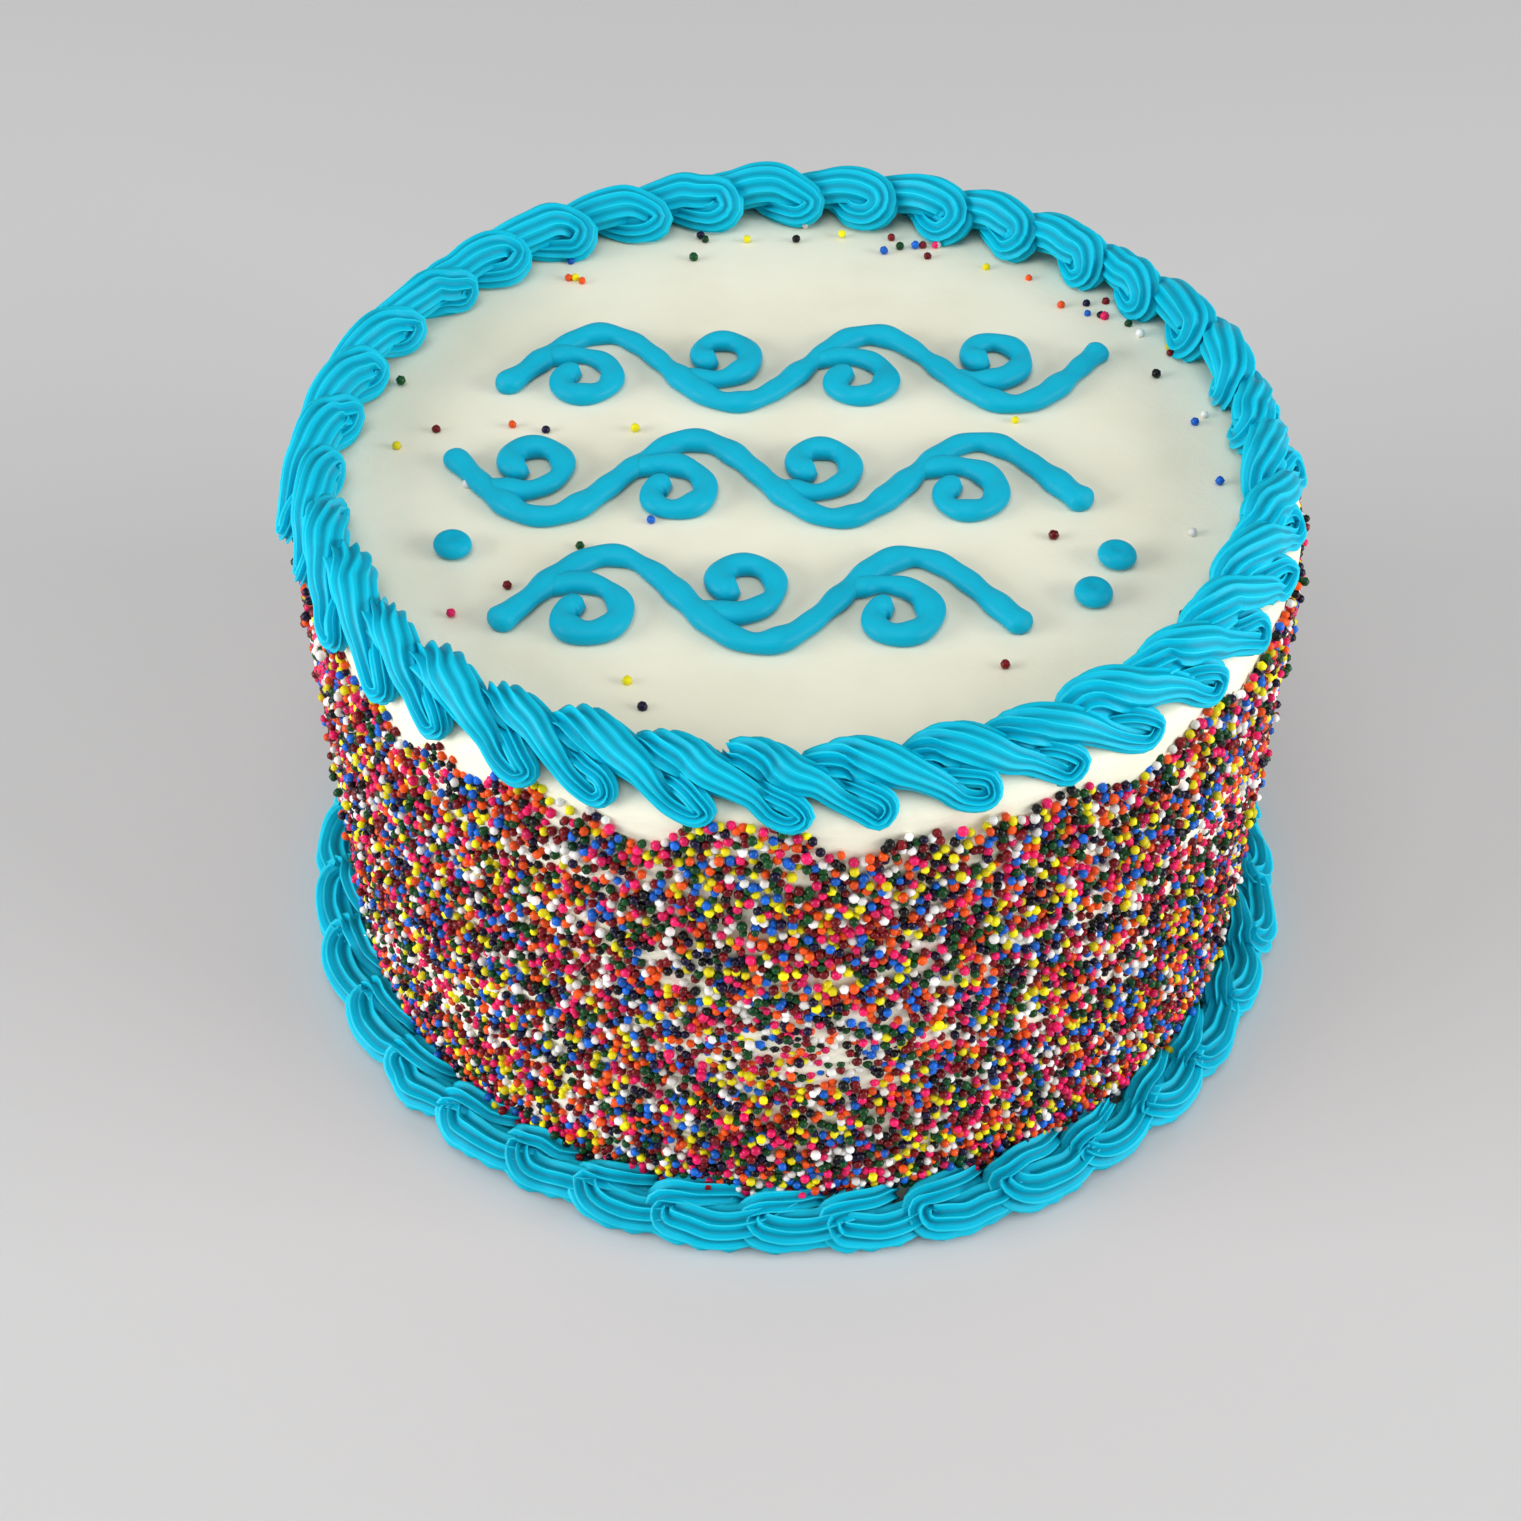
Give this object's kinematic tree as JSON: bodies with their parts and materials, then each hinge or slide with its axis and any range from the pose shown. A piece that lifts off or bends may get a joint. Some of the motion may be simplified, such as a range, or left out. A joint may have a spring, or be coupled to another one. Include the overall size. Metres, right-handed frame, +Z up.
{
  "type": "birthday cake",
  "caption": "Tall round birthday cake iced white, its side covered in rainbow sugar sprinkles, with blue star-tip piped borders at the top edge and foot and blue scroll piping on top.",
  "frame": {"origin": "middle of the cake's underside, on the flat plane it rests on", "axes": "+Z up; -Y towards the front, from where the piped rows stand upright; +X to the right seen from the front"},
  "size_m": [0.2236, 0.2226, 0.1296],
  "materials": {
    "icing_white": "soft satin buttercream, ivory white",
    "icing_blue": "satin buttercream, bright turquoise blue",
    "icing_blue_deep": "satin piping gel icing, deeper blue",
    "sprinkle_pink": "glazed sugar ball, pink",
    "sprinkle_maroon": "glazed sugar ball, maroon",
    "sprinkle_orange": "glazed sugar ball, orange",
    "sprinkle_yellow": "glazed sugar ball, yellow",
    "sprinkle_green": "glazed sugar ball, green",
    "sprinkle_blue": "glazed sugar ball, blue",
    "sprinkle_navy": "glazed sugar ball, navy",
    "sprinkle_black": "glazed sugar ball, black",
    "sprinkle_white": "glazed sugar ball, white"
  },
  "bodies": {
    "root": {"cake_body": "icing_white", "top_border": "icing_blue", "bottom_border": "icing_blue", "scroll_back": "icing_blue_deep", "scroll_middle": "icing_blue_deep", "scroll_front": "icing_blue_deep", "drop_1": "icing_blue_deep", "drop_2": "icing_blue_deep", "drop_3": "icing_blue_deep"}
  },
  "joints": []
}
